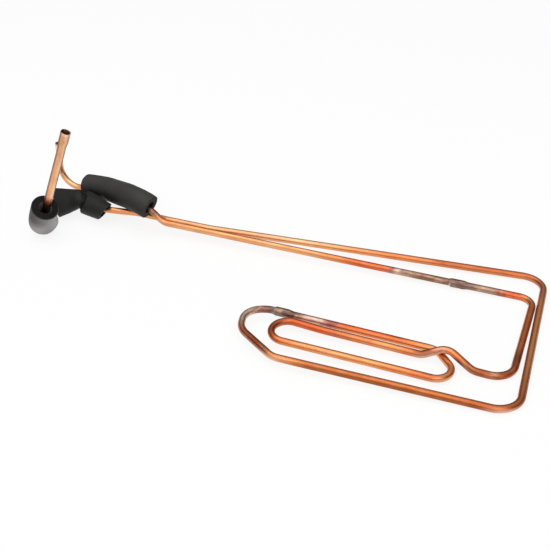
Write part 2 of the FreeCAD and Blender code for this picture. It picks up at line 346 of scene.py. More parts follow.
riser_route = bent_route(
    leg_end, [(riser_foot + vec(*RISER_SHIFT), RISER_BEND)], riser_mouth + vec(*RISER_SHIFT))
feed_route = bent_route(
    leg_end - leg_out * REDUCER_LAP,
    [(leg_corner, 13.0), (flat(-230.8, 82.7), 17.0), (flat(-197.0, 68.0), 40.0),
     (flat(-160.0, 71.0), 60.0),
     (on_line(pair_left, return_corner, PAIR_LEFT[0]) + pair_step, 60.0),
     (on_line(pair_left, return_corner, PAIR_RIGHT_X) + pair_step, 60.0),
     (flat(235.2, 62.6), 19.0), (flat(220.2, -128.9), 20.5), (flat(28.0, -113.8), 17.35),
     (flat(-7.2, -84.6), 22.8), (flat(-11.4, -56.9), 17.0), (double_left, 18.0)],
    lower_mouth + lower_in * SOCKET_REACH)
coil_route = bent_route(
    lower_mouth,
    [(double_turn + vec(*DOUBLE_TURN_SHIFT), 13.0), (flat(181.6, -107.9), 13.0),
     (flat(22.0, -91.1), 13.9), (flat(10.8, -60.0), 13.9),
     (on_line(double_left, double_turn, HAIRPIN_JOINS_X) + double_step, 60.0),
     (on_line(double_left, double_turn, CROSSING_START_X) + double_step, 11.0),
     (flat(161.6, -75.6, 9.0), 12.4), (flat(183.3, -87.1), 17.0), (flat(213.0, -91.0), 17.35),
     (return_corner, 12.5)],
    upper_mouth)
climb_top, over_pair, over_end = vec(-141.9, 60.9, 10.4), vec(-153.0, 63.4, 14.4), vec(-170.4, 73.4, 12.9)
outlet_middle = vec(-205.8, 98.4, 4.2)
return_route = bent_route(
    upper_mouth + upper_in * SOCKET_REACH,
    [(pair_left, 12.0), (climb_top, 12.0), (over_pair, 30.0), (over_end, 50.0), (outlet_middle, 50.0),
     (vec(-234.5, 106.4, -0.6), 50.0), (vec(-265.0, 111.0, -5.2), 20.0)],
    vec(-263.5, 111.0, 45.0))


def plain(radius):
    return lambda s: np.full(s.shape, radius)


def belled_last(route, radius, belled):
    return lambda s: bell(s, route.length, -1, radius, belled)


def belled_both(route, radius, belled):
    return lambda s: np.maximum(
        bell(s, 0.0, 1, radius, belled), bell(s, route.length, -1, radius, belled))


riser = tube(
    "copper_riser_tube", riser_route,
    belled_last(riser_route, RISER_R, RISER_BELL_R), belled_last(riser_route, RISER_BORE, RISER_BELL_BORE))
feed = tube("copper_feed_tube", feed_route, plain(TUBE_R), plain(BORE_R))
coil = tube(
    "copper_coil_tube", coil_route,
    belled_both(coil_route, TUBE_R, BELL_R), belled_both(coil_route, BORE_R, BELL_BORE))
outlet = tube("copper_return_tube", return_route, plain(TUBE_R), plain(BORE_R))


# Braze fillets

FILLET_SIDES = 48
FILLET_REACH = 2.1      # along the tube
FILLET_WAVE = (0.9, 1.4)    # how much that varies round the joint, and how fast
FILLET_LUMP = (0.18, 3.1)   # how much the height varies, as a share, and how fast
FILLET_GAP = 0.01       # between the filler and the tube
# Across the ring: how far along the reach, and how high from the tube to the socket's outside
FILLET_PROFILE = ((0.0, 0.0), (0.0, 0.5), (0.0, 1.0), (0.18, 0.92), (0.4, 0.52), (0.7, 0.26), (1.0, 0.1),
                  (1.0, 0.0), (0.5, 0.0))


def fillet(name, node, mouth, outward, outer, seed):
    """A ring of filler metal that has run round the joint, with an uneven edge."""
    n = unit(np.cross(outward, vec(0.3, 0.2, 1.0)))
    b = np.cross(outward, n)
    inner = TUBE_R + FILLET_GAP
    (wave_high, wave_fast), (lump_high, lump_fast) = FILLET_WAVE, FILLET_LUMP
    rows, along = [], []
    for at, height in FILLET_PROFILE:
        ring = []
        for k in range(FILLET_SIDES):
            a = 2 * math.pi * k / FILLET_SIDES
            c, d = math.cos(a), math.sin(a)
            wave = noise.noise(Vector((c * wave_fast, d * wave_fast, seed)))
            lump = noise.noise(Vector((c * lump_fast, d * lump_fast, seed + 5 + at)))
            reach = at * (FILLET_REACH + wave_high * wave)
            radius = inner + (outer - inner) * height * (1 + (lump_high * lump if 0 < at else 0))
            ring.append(mouth + outward * reach + (n * c + b * d) * radius)
        rows.append(ring)
        along.append([(at, 0, 0)] * FILLET_SIDES)
    piece = shell(name, np.array(rows), {"run": np.array(along, float)})
    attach(piece, "root")
    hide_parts(node)
    return piece


fillets = [
    fillet("braze_reducer", "reducer_braze", leg_end, leg_out, RISER_R, seed=1.0),
    fillet("braze_lower_joint", "lower_joint_braze", lower_mouth, -lower_in, BELL_R, seed=2.0),
    fillet("braze_upper_joint", "upper_joint_braze", upper_mouth, -upper_in, BELL_R, seed=3.0)]


# Foam sleeves

AROUND = 96
FOAM_EDGE_OUT = 0.7     # radius of the cut ends' outer edge
FOAM_EDGE_IN = 0.45     # and of the edge at the bore
FOAM_CUT_STEPS = 8      # rings over a cut end
FOAM_ARC = (25, 50, 75)             # degrees round an edge
FOAM_COARSE, FOAM_FINE = 0.055, 0.21    # how close the skin's waves are, per mm
FOAM_FINE_SHARE = 0.3   # height of the fine waves, as a share of the coarse ones'
CUT_WAVES = ((0.5, 0.10), (1.7, 0.05))  # the same on a cut end, each with its height
CUT_FROM = 0.9          # a point that is this far over the edge waves with the cut end
LOOK_BOTH_WAYS = 26     # how far from the first guess a plane is looked for
LOOK_STEPS = 520        # steps in which it is looked for


def crossing(route, angle, radius, point, facing, near):
    """Arc-length at which each line of the skin meets a plane, near a first guess."""
    tries = np.linspace(near - LOOK_BOTH_WAYS, near + LOOK_BOTH_WAYS, LOOK_STEPS + 1)
    grid_s, grid_a = np.meshgrid(tries, angle, indexing="ij")
    away = (route.place(grid_s, grid_a, np.broadcast_to(radius, grid_s.shape)) - point) @ facing
    result = np.empty(len(angle))
    for k in range(len(angle)):
        changes = np.nonzero(np.diff(np.sign(away[:, k])) != 0)[0]
        i = changes[np.argmin(np.abs(tries[changes] - near))]
        share = away[i, k] / (away[i, k] - away[i + 1, k])
        result[k] = tries[i] + (tries[i + 1] - tries[i]) * share
    return result


def sleeve(name, node, route, outer, bore, start, end, seed, pale, step=1.0, bulge=0.35,
           crease_shade=lambda s, a: 0.0 * s):
    """A foam tube between two cut planes, each a (point, facing outward, arc-length nearby). "pale" says
    how pale the skin is painted for the way it faces, mostly a painted sheen and painted light, the crease
    function how deep in a crease a point is, where shade is painted, and "bulge" how high its waves are."""
    angle = np.arange(AROUND) / AROUND * 2 * math.pi
    rows, run, cut = [], [], []

    def add(s, radius, is_cut):
        grid = route.place(s, angle, radius)
        rows.append(grid)
        run.append(np.stack([s, radius * np.cos(angle), radius * np.sin(angle)], -1))
        cut.append(np.full(AROUND, is_cut))

    def meet(shape, plane, inset, depth):
        point, facing, near = plane
        s = np.full(AROUND, near)
        for _ in range(3):
            radius = shape(s, angle) + inset
            s = crossing(route, angle, radius, point - facing * depth, facing, near)
        return s, shape(s, angle) + inset

    def side(shape, edge, first, last):
        """Rings along a skin between the rounded edges of its two ends."""
        s0, _ = meet(shape, first, 0.0, edge)
        s1, _ = meet(shape, last, 0.0, edge)
        count = int(np.max(np.abs(s1 - s0)) / step) + 2
        for k in range(count + 1):
            s = s0 + (s1 - s0) * (k / count)
            add(s, shape(s, angle), 0.0)

    def corner(shape, edge, plane, way, to_face):
        """Rings round the edge of a cut end, where the skin (way -1) or the bore (way 1) meets it."""
        for a in FOAM_ARC if to_face else reversed(FOAM_ARC):
            drop = edge * (1 - math.sin(math.radians(a)))
            inset = way * edge * (1 - math.cos(math.radians(a)))
            s, radius = meet(shape, plane, inset, drop)
            add(s, radius, 0.5 + 0.5 * a / 90)

    def face(plane, inward):
        """The cut end, from the skin to the bore or back."""
        _, r_out = meet(outer, plane, -FOAM_EDGE_OUT, 0.0)
        _, r_in = meet(bore, plane, FOAM_EDGE_IN, 0.0)
        for k in range(FOAM_CUT_STEPS + 1)[::1 if inward else -1]:
            radius = r_out + (r_in - r_out) * (k / FOAM_CUT_STEPS)
            add(crossing(route, angle, radius, *plane), radius, 1.0)

    side(outer, FOAM_EDGE_OUT, start, end)
    corner(outer, FOAM_EDGE_OUT, end, -1, True)
    face(end, True)
    corner(bore, FOAM_EDGE_IN, end, 1, False)
    side(bore, FOAM_EDGE_IN, end, start)
    corner(bore, FOAM_EDGE_IN, start, 1, True)
    face(start, False)
    corner(outer, FOAM_EDGE_OUT, start, -1, False)
    rings = np.array(rows)
    run = np.array(run)
    cut = np.array(cut)
    around = np.broadcast_to(angle, run.shape[:2])
    # Painted shade in a crease, less the skin's paleness, which is a painted sheen and painted light, and
    # stretch on the outside of the kinked sleeve's bend
    stretch_and_painted_light = crease_shade(run[..., 0], around) - pale(route.outward(run[..., 0], around))
    # Foam is never quite round: the skin waves a little, and a knife leaves its cut ends uneven
    for i in range(rings.shape[0]):
        for k in range(AROUND):
            p = Vector(rings[i, k])
            middle = route.place(run[i, k, 0:1], angle[k:k + 1], np.zeros(1))[0]
            out = unit(rings[i, k] - middle)
            wave = noise.noise(p * FOAM_COARSE + Vector((seed, 0, 0))) * bulge
            wave += noise.noise(p * FOAM_FINE + Vector((0, seed, 0))) * bulge * FOAM_FINE_SHARE
            if cut[i, k] > CUT_FROM:
                axis = end[1] if np.dot(rings[i, k] - end[0], end[1]) > -1e-3 else start[1]
                rings[i, k] += axis * sum(noise.noise(p * fine) * high for fine, high in CUT_WAVES)
            else:
                rings[i, k] += out * wave
    piece = shell(name, rings, {"run": run, "cut": cut, "stretch_and_painted_light": stretch_and_painted_light})
    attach(piece, "root")
    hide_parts(node)
    return piece


FRONT = vec(0.0, -0.87, -0.49)       # ways that a surface faces, in the loop's frame
TOP = -FRONT
RIGHT = vec(0.967, 0.255, 0.0)
LEFT = -RIGHT
FAINTLY_PALE = 0.04     # how pale the other sleeves' skins are: stretched on the outside of the kinked one's bend, painted light on the long one's top

ELBOW_R = 13.2
ELBOW_BORE_R = 6.3
ELBOW_BEND = 14.0
ELBOW_BACK = 15.0           # along the leg, from its corner to the sleeve's square end
ELBOW_TOP = 24.6            # along the riser, from its corner to the middle of the cut end
ELBOW_PAST = 60.0           # how far the route goes up the riser, past the cut
ELBOW_SHIFT = (0.25, -2.0, 0.1)     # of the sleeve from the tube inside it
ELBOW_CUT = (0.467, -0.306, 0.829)  # the way the cut end faces
ELBOW_SHEEN = (0.19, 0.45, 0.22)     # how pale the painted sheen makes it in front, and how much more by the loop and below


def even(radius):
    return lambda s, angle: np.full(np.broadcast(s, angle).shape, radius)


def elbow_sheen(face):
    """A painted sheen: the elbow's skin is painted pale in front, most where it faces down and to the
    loop.
    """
    front = np.clip(1.2 + 2.0 * np.sum(face * np.cross(RIGHT, FRONT), -1), 0, 1)
    to_loop, down = np.clip(face @ RIGHT, 0, 1), np.clip(face @ FRONT, 0, 1)
    all_over, by_loop, below = ELBOW_SHEEN
    return front * (all_over + by_loop * to_loop ** 3 + below * down ** 2)


elbow_corner = riser_foot + vec(*ELBOW_SHIFT)
elbow_back = elbow_corner + leg_out * ELBOW_BACK
elbow_route = bent_route(elbow_back, [(elbow_corner, ELBOW_BEND)], elbow_corner + riser_up * ELBOW_PAST)
elbow_top = elbow_corner + riser_up * ELBOW_TOP
elbow_top_s = elbow_route.length - (ELBOW_PAST - ELBOW_TOP)
elbow = sleeve(
    "foam_elbow_sleeve", "elbow_sleeve", elbow_route, even(ELBOW_R), even(ELBOW_BORE_R),
    (elbow_back, leg_out, 0.0), (elbow_top, unit(vec(*ELBOW_CUT)), elbow_top_s), seed=3.0,
    # A painted sheen on the elbow's front and underside
    pale=elbow_sheen, bulge=0.25)


class Fold:
    """Two straight axes that meet at a sharp fold. Near it the rings lean over into the fold's plane, so
    the two halves meet there and don't run into each other."""

    LEAN = 12.0        # how far from the fold the rings start to lean

    def __init__(self, left, fold, right, past):
        self.fold = fold
        self.back, self.ahead = unit(left - fold), unit(right - fold)
        self.at = float(np.linalg.norm(left - fold))
        self.length = self.at + float(np.linalg.norm(right - fold)) + past
        self.axis = unit(np.cross(-self.back, self.ahead))
        self.inward = unit(self.back + self.ahead)
        self.slope = math.tan(math.acos(np.clip(-self.back @ self.ahead, -1, 1)) / 2)

    def frame(self, s):
        """Along the axis, across it in the plane of the turn and towards its inside, and up."""
        after = (s > self.at)[..., None]
        along = np.where(after, self.ahead, -self.back)
        return along, np.cross(self.axis, along), self.axis

    def place(self, s, angle, radius):
        along, across, up = self.frame(s)
        off = s - self.at
        lean = np.clip(1 - np.abs(off) / self.LEAN, 0, 1) * self.slope * np.sign(off + 1e-9)
        c, d = (np.cos(angle) * radius), (np.sin(angle) * radius)
        return self.fold + along * (off + lean * c)[..., None] + across * c[..., None] + up * d[..., None]

    def outward(self, s, angle):
        along, across, up = self.frame(s)
        return across * np.cos(angle)[..., None] + up * np.sin(angle)[..., None]


KINKED_LEFT_R = 15.2        # at the left end
KINKED_FOLD_R = 9.8         # at the fold
KINKED_WIDE_R = 12.2        # at the widest place past the fold
KINKED_RIGHT_R = 9.9        # at the right end
KINKED_WIDEST = 8.0         # from the fold to the widest place
KINKED_BORE_R = 6.55
KINKED_PAST = 25.0          # how far the route goes on past the right end
FOLD_SLANT = 9.5            # how much further along the fold lies in front and above
FOLD_FRONT = 0.7            # minus the angle at which it lies furthest, radians
CREASE_AT = 4.0             # from the fold to the crease's deepest line
CREASE_WIDTH = 3.4
CREASE_DEPTH = (1.9, 1.1)   # its mean, and how much deeper it is in front
kinked_left, kinked_left_cut = vec(-249.6, 67.4, -0.2), unit(vec(-0.898, -0.419, -0.130))
kinked_right, kinked_right_cut = vec(-196.5, 67.6, -2.2), unit(vec(0.81, -0.12, -0.575))
kinked_route = Fold(kinked_left, vec(-230.5, 80.9, -0.2), kinked_right, KINKED_PAST)
kink_s = kinked_route.at
kinked_right_s = kinked_route.length - KINKED_PAST


def kinked_past(s, angle):
    """How far past the fold a point is. In front and above, the fold lies further along."""
    return s - kink_s - FOLD_SLANT * np.clip(np.cos(angle + FOLD_FRONT), 0, 1) ** 1.5


def kinked_crease(s, angle):
    """How deep a point is in the crease, 0 to 1."""
    return np.exp(-((kinked_past(s, angle) - CREASE_AT) / CREASE_WIDTH) ** 2)


def kinked_outer(s, angle):
    """Wide at the left, narrow at the fold, wide again and narrowing to the right, with a deep crease."""
    off = kinked_past(s, angle)
    left = KINKED_FOLD_R + (KINKED_LEFT_R - KINKED_FOLD_R) * np.clip(-off / (s - off), 0, 2)
    taper = (KINKED_WIDE_R - KINKED_RIGHT_R) / (kinked_right_s - kink_s - KINKED_WIDEST)
    right = KINKED_FOLD_R + (KINKED_WIDE_R - KINKED_FOLD_R) * smooth(off, 0.5, KINKED_WIDEST + 1.0)
    right = right - taper * np.clip(off - KINKED_WIDEST, 0, None)
    depth = CREASE_DEPTH[0] + CREASE_DEPTH[1] * np.cos(angle + FOLD_FRONT)
    return np.where(off < 0, left, right) - kinked_crease(s, angle) * depth


kinked = sleeve(
    "foam_kinked_sleeve", "kinked_sleeve", kinked_route, kinked_outer, even(KINKED_BORE_R),
    (kinked_left, kinked_left_cut, 0.0), (kinked_right, kinked_right_cut, kinked_right_s), seed=7.0,
    pale=lambda face: FAINTLY_PALE * np.clip(-face @ kinked_route.inward, 0, 1),
    # The crease gets a painted shade as well as its depth
    step=0.7, bulge=0.3, crease_shade=kinked_crease)

LONG_R = 12.3
LONG_BORE_R = 6.1
LONG_LIFT = 2.6             # of the sleeve above the tube inside it
LONG_START = 2.7            # along the tube, from the top of its climb
LONG_END_X = -231.5
long_start = climb_top + unit(over_pair - climb_top) * LONG_START
long_end = on_line(outlet_middle, vec(-234.5, 106.4, -1.1), LONG_END_X)
# Each corner of its route, and how much more or less than the lift it is raised there
long_points = [p + vec(0, 0, LONG_LIFT) + vec(0, 0, z) for p, z in (
    (long_start, 0.5), (over_pair, 0.6), (over_end, 0.5), (outlet_middle, -0.2), (long_end, 0.6))]
long_route = Route(long_points, [30.0, 50.0, 50.0])
long_sleeve = sleeve(
    "foam_long_sleeve", "long_sleeve", long_route, even(LONG_R), even(LONG_BORE_R),
    (long_points[0], -long_route.t[0], 0.0), (long_points[-1], long_route.t[-1], long_route.length),
    # A painted light makes the long sleeve's top faintly paler
    seed=11.0, pale=lambda face: FAINTLY_PALE * np.clip(face[..., 2], 0, 1),
    step=1.4, bulge=0.35)


# Materials

class Nodes:
    """A small helper to build one node tree."""

    def __init__(self, name):
        self.material = bpy.data.materials.new(name)
        self.material.use_nodes = True
        self.tree = self.material.node_tree
        self.tree.nodes.clear()
        self.out = self.new("ShaderNodeOutputMaterial")

    def new(self, kind, **settings):
        node = self.tree.nodes.new(kind)
        for key, value in settings.items():
            setattr(node, key, value)
        return node

    def link(self, a, b):
        self.tree.links.new(a, b)

    def put(self, socket, value):
        if isinstance(value, bpy.types.NodeSocket):
            self.link(value, socket)
        else:
            socket.default_value = value

    def math(self, operation, a, b, clamp=False):
        node = self.new("ShaderNodeMath", operation=operation, use_clamp=clamp)
        self.put(node.inputs[0], a)
        self.put(node.inputs[1], b)
        return node.outputs[0]

    def scaled(self, vector, scale):
        node = self.new("ShaderNodeVectorMath", operation="MULTIPLY")
        self.link(vector, node.inputs[0])
        node.inputs[1].default_value = scale
        return node.outputs[0]

    def attribute(self, name, output="Vector"):
        node = self.new("ShaderNodeAttribute", attribute_type="GEOMETRY", attribute_name=name)
        return node.outputs[output]

    def noise(self, vector, scale, detail=2.0, rough=0.5):
        node = self.new("ShaderNodeTexNoise")
        self.link(vector, node.inputs["Vector"])
        node.inputs["Scale"].default_value = scale
        node.inputs["Detail"].default_value = detail
        node.inputs["Roughness"].default_value = rough
        return node.outputs["Fac"]

    def ramp(self, value, stops):
        node = self.new("ShaderNodeValToRGB")
        while len(node.color_ramp.elements) < len(stops):
            node.color_ramp.elements.new(0.5)
        for element, (place, colour) in zip(node.color_ramp.elements, stops):
            element.position = place
            element.color = (*colour, 1.0)
        self.link(value, node.inputs[0])
        return node.outputs["Color"]

    def long_ramp(self, value, stops):
        """A ramp with more stops than one node holds: one for each half, which share the middle stop."""
        middle = len(stops) // 2
        halves = self.ramp(value, stops[:middle + 1]), self.ramp(value, stops[middle:])
        return self.mix(self.math("GREATER_THAN", value, stops[middle][0]), *halves)

    def range(self, value, low, high, to_low=0.0, to_high=1.0):
        node = self.new("ShaderNodeMapRange")
        self.link(value, node.inputs[0])
        for k, v in zip((1, 2, 3, 4), (low, high, to_low, to_high)):
            node.inputs[k].default_value = v
        return node.outputs[0]

    def mix(self, share, a, b, blend="MIX"):
        node = self.new("ShaderNodeMix", data_type="RGBA", blend_type=blend)
        self.put(node.inputs[0], share)
        for socket, value in ((node.inputs[6], a), (node.inputs[7], b)):
            self.put(socket, value if isinstance(value, bpy.types.NodeSocket) else (*value, 1.0))
        return node.outputs[2]

    def bump(self, height, strength, distance, before=None):
        node = self.new("ShaderNodeBump")
        node.inputs["Strength"].default_value = strength
        node.inputs["Distance"].default_value = distance
        self.link(height, node.inputs["Height"])
        if before is not None:
            self.link(before, node.inputs["Normal"])
        return node.outputs["Normal"]


def linear(r, g, b):
    """A colour as it looks on a screen, 0 to 255, as linear light."""
    values = []
    for c in (r, g, b):
        c /= 255
        values.append(c / 12.92 if c <= 0.04045 else ((c + 0.055) / 1.055) ** 2.4)
    return tuple(values)


GOLD = linear(240, 186, 138)
PEACH = linear(255, 194, 146)
COPPER = linear(236, 162, 106)
ORANGE = linear(232, 138, 84)
FLAME = linear(222, 108, 62)
EMBER = linear(194, 98, 58)
RUSSET = linear(198, 110, 68)
AMBER = linear(206, 121, 68)
BROWN = linear(170, 98, 60)
CLAY = linear(226, 156, 120)
TOBACCO = linear(122, 62, 24)
PALE = linear(255, 226, 196)
TAUPE = linear(146, 112, 92)
CREAM = linear(236, 212, 190)
MOCHA = linear(142, 100, 86)
UMBER = linear(168, 94, 62)
SOOT = linear(34, 24, 19)
HONEY = linear(242, 178, 122)
APRICOT = linear(255, 174, 110)
CHESTNUT = linear(126, 64, 40)
COPPER_DARK = linear(120, 70, 46)
EDGE_DARK = linear(108, 80, 62)
DUSKY_RED = linear(160, 90, 86)
SCALE_GREY = linear(138, 117, 106)
SCALE_DARK = linear(110, 92, 84)
SCALE_PALE = linear(174, 146, 124)
SILVER = linear(205, 182, 168)

WANDER = 9.0            # how far the borders between tones wander, from end to end
STREAK_BUMP = (0.06, 0.0002)        # strength, and height in metres
SPECK_BUMP = (0.05, 0.0002)


def copper(name, length, zones, side_shading, mottle):
    """Drawn copper, with tones along it, partly left by heat and handling and partly painted light and
    shade, painted highlights, reflections and shade on the side that faces a given way, each a (way the
    side faces, least and most share of that, tone, amounts along it), and the amounts of mottled scale
    along it."""
    m = Nodes(name)
    run = m.attribute("run")
    parts = m.new("ShaderNodeSeparateXYZ")
    m.link(run, parts.inputs[0])
    face = m.attribute("face")
    streaks = m.noise(m.scaled(run, (0.012, 1.0, 1.0)), 2.2, 3.0, 0.55)
    blotch = m.noise(m.scaled(run, (0.05, 0.25, 0.25)), 1.0, 3.0, 0.55)
    specks = m.noise(m.scaled(run, (0.5, 1.0, 1.0)), 0.8, 3.0, 0.6)
    # The tones' borders wander along the tube
    drift = m.noise(m.scaled(run, (0.2, 0.5, 0.5)), 1.0, 2.0)
    wander = m.math("MULTIPLY", m.math("SUBTRACT", drift, 0.5), WANDER)
    along = m.math("DIVIDE", m.math("ADD", parts.outputs[0], wander), length, clamp=True)
    colour = m.long_ramp(along, [(s / length, tone) for s, tone in zones])

    def amount_along(amounts):
        share = m.new("ShaderNodeRGBToBW")
        m.link(m.ramp(along, [(s / length, (amount,) * 3) for s, amount in amounts]), share.inputs[0])
        return share.outputs[0]

    # Painted highlights, reflections and shade, on the side that faces each way
    for way, low, high, tone, amounts in side_shading:
        toward = m.new("ShaderNodeVectorMath", operation="DOT_PRODUCT")
        m.link(face, toward.inputs[0])
        toward.inputs[1].default_value = way
        facing = m.range(toward.outputs["Value"], low, high)
        colour = m.mix(m.math("MULTIPLY", facing, amount_along(amounts), clamp=True), colour, tone)
    mottled = amount_along(mottle)
    for scale, low, high, share, tone in (
            ((0.09, 0.24, 0.24), 0.50, 0.68, 0.40, PALE),
            ((0.15, 0.30, 0.30), 0.52, 0.68, 0.45, COPPER_DARK)):
        spots = m.range(m.noise(m.scaled(run, scale), 1.0, 2.0, 0.6), low, high, 0.0, share)
        colour = m.mix(m.math("MULTIPLY", spots, mottled), colour, tone)
    lines = m.noise(m.scaled(run, (0.004, 0.62, 0.62)), 1.0, 1.0, 0.5)
    for pattern, low, high, share, tone in (
            (lines, 0.52, 0.62, 0.22, CLAY), (blotch, 0.40, 0.72, 0.30, RUSSET)):
        darker = m.mix(1.0, colour, tone, "MULTIPLY")
        colour = m.mix(m.range(pattern, low, high, 0.0, share), colour, darker)
    colour = m.mix(m.range(specks, 0.60, 0.72, 0.0, 0.30), colour, COPPER_DARK)
    colour = m.mix(m.range(streaks, 0.3, 0.75, 0.0, 0.20), colour, COPPER_DARK)
    shader = m.new("ShaderNodeBsdfPrincipled")
    shader.inputs["Metallic"].default_value = 1.0
    m.link(colour, shader.inputs["Base Color"])
    m.link(m.range(blotch, 0.3, 0.7, 0.28, 0.42), shader.inputs["Roughness"])
    m.link(m.bump(specks, *SPECK_BUMP, m.bump(streaks, *STREAK_BUMP)), shader.inputs["Normal"])
    m.link(shader.outputs[0], m.out.inputs[0])
    return m.material


# For each tube, (millimetres along it, tone) or (millimetres along it, amount), which stay as they are
# before the first and past the last
# The tones along each tube are partly heat tint and scale near the joints, and partly painted light and
# shade: runs that catch more light are painted paler, and runs that face dark surroundings darker
coil_end = coil_route.length
coil_zones = [
    (0, SCALE_GREY), (9, SCALE_DARK), (17, SCALE_DARK), (23, SCALE_PALE), (29, SILVER), (42, SILVER),
    (48, DUSKY_RED), (54, DUSKY_RED), (60, FLAME), (90, FLAME), (108, EMBER), (120, ORANGE),
    (134, COPPER), (172, COPPER), (188, RUSSET), (204, ORANGE), (240, COPPER), (292, COPPER),
    (312, ORANGE), (324, RUSSET), (338, RUSSET), (348, EMBER), (362, FLAME), (380, FLAME), (392, RUSSET),
    (412, ORANGE), (434, COPPER), (455, ORANGE), (463, UMBER), (472, UMBER), (478, CLAY), (484, CLAY),
    (492, ORANGE), (505, BROWN), (530, BROWN), (545, RUSSET), (560, BROWN), (575, ORANGE), (632, ORANGE),
    (650, COPPER), (coil_end - 60, FLAME), (coil_end - 52, FLAME), (coil_end - 46, EMBER),
    (coil_end - 42, DUSKY_RED), (coil_end - 39, SCALE_PALE), (coil_end - 24, SCALE_PALE),
    (coil_end - 17, SCALE_GREY), (coil_end - 9, SCALE_DARK), (coil_end, SCALE_GREY)]
feed_end = feed_route.length
feed_zones = [
    (0, UMBER), (60, COPPER), (130, COPPER), (180, GOLD), (290, GOLD), (335, COPPER), (375, ORANGE),
    (425, RUSSET), (500, RUSSET), (530, CLAY), (548, APRICOT), (622, APRICOT), (645, COPPER),
    (690, RUSSET), (745, AMBER), (850, AMBER), (868, COPPER), (880, COPPER), (890, UMBER),
    (feed_end - 66, UMBER), (feed_end - 58, CLAY), (feed_end - 50, CREAM), (feed_end - 34, CREAM),
    (feed_end - 26, MOCHA), (feed_end - 20, MOCHA), (feed_end - 15, SCALE_DARK), (feed_end, SCALE_DARK)]
return_end = return_route.length
return_zones = [
    (0, SCALE_GREY), (12, SCALE_GREY), (19, TAUPE), (36, TAUPE), (46, SCALE_PALE), (54, SCALE_PALE),
    (60, SILVER), (64, DUSKY_RED), (70, FLAME), (94, FLAME), (108, ORANGE), (128, COPPER), (150, HONEY),
    # Painted shadow at 309 to 320, where the tube goes into the long sleeve
    (225, HONEY), (260, COPPER), (302, COPPER), (309, TAUPE), (320, TAUPE), (330, COPPER), (400, COPPER),
    # A painted highlight over the last 16 mm below the open top end
    (428, GOLD), (return_end - 30, GOLD), (return_end - 16, PALE), (return_end - 3, PALE),
    (return_end, SCALE_GREY)]
riser_end = riser_route.length
riser_zones = [
    # Painted shade: dark where the riser lies in the elbow sleeve's bore
    (0, SOOT), (riser_end - 84, SOOT), (riser_end - 79, UMBER), (riser_end - 75, PEACH),
    (riser_end - 36, PEACH), (riser_end - 14, GOLD), (riser_end - 4, GOLD), (riser_end - 2, PALE),
    (riser_end, PALE)]
# Painted light and shade on the side of each tube that faces a given way: the pale tones are painted
# highlights and reflections, TOBACCO and CHESTNUT painted shade
coil_side_shading = [
    (TOP, 0.30, 0.95, SILVER,
     [(0, 0.0), (17, 0.3), (60, 0.0), (coil_end - 50, 0.0), (coil_end - 40, 0.15)]),
    (FRONT, -0.10, 0.80, APRICOT,
     [(46, 0.0), (60, 0.7), (120, 0.7), (150, 0.5), (172, 0.3), (200, 0.35), (300, 0.4), (312, 0.0)]),
    (TOP, 0.20, 0.90, CLAY,
     [(120, 0.0), (132, 0.6), (160, 0.0), (380, 0.0), (392, 0.5), (410, 0.5), (425, 0.0), (480, 0.0),
     (488, 0.6), (520, 0.6), (535, 0.0)]),
    (FRONT, 0.20, 0.90, PALE,
     [(155, 0.0), (165, 0.2), (185, 0.2), (200, 0.0), (455, 0.0), (463, 0.5), (474, 0.5), (486, 0.0)]),
    (FRONT, -0.35, 0.60, TOBACCO, [(545, 0.0), (560, 0.35), (600, 0.42), (635, 0.42), (655, 0.0)]),
    # A small dark spot low on the left front side, at 498 to 505
    (unit(LEFT + FRONT), 0.55, 0.75, SOOT, [(498, 0.0), (500, 0.8), (503, 0.8), (505, 0.0)])]
feed_side_shading = [
    (FRONT, -0.35, 0.60, TOBACCO,
     [(350, 0.0), (420, 0.10), (500, 0.10), (530, 0.0), (700, 0.0), (720, 0.48), (790, 0.50), (850, 0.40),
     (872, 0.0)]),
    (FRONT, 0.35, 0.95, APRICOT, [(240, 0.0), (290, 0.4), (500, 0.5), (520, 0.0)]),
    (FRONT, 0.20, 0.90, PALE,
     [(670, 0.0), (684, 0.65), (700, 0.65), (715, 0.0), (868, 0.0), (876, 0.6), (888, 0.6), (896, 0.2),
     (feed_end - 66, 0.2), (feed_end - 60, 0.0)]),
    (TOP, 0.30, 0.90, SILVER,
     [(feed_end - 48, 0.0), (feed_end - 42, 0.7), (feed_end - 28, 0.7), (feed_end, 0.2)]),
    (TOP, 0.20, 0.90, CLAY,
     [(340, 0.0), (400, 0.5), (430, 0.9), (500, 0.9), (520, 0.2), (715, 0.0), (740, 0.9), (850, 0.9),
     (866, 0.0)]),
    # Painted shade on the flanks of the run down the right side
    (RIGHT, 0.35, 0.95, CHESTNUT, [(520, 0.0), (545, 0.8), (680, 0.75), (700, 0.0)]),
    (LEFT, 0.30, 0.90, CHESTNUT, [(540, 0.0), (556, 0.6), (615, 0.5), (640, 0.0)])]
return_side_shading = [
    (TOP, 0.30, 0.95, SILVER, [(0, 0.0), (12, 0.1), (60, 0.3), (66, 0.0)]),
    (TOP, 0.20, 0.90, ORANGE, [(140, 0.0), (165, 0.7), (240, 0.7), (295, 0.2), (305, 0.0)]),
    (FRONT, 0.20, 0.90, GOLD, [(220, 0.0), (245, 0.8), (300, 0.8), (306, 0.0)])]
# Painted shade on the riser's left side and a painted highlight on its right
riser_side_shading = [
    (LEFT, 0.42, 0.72, EDGE_DARK, [(0, 0.9), (riser_end, 0.9)]),
    (RIGHT, 0.10, 0.80, PALE, [(riser_end - 80, 0.0), (riser_end - 74, 0.9)])]
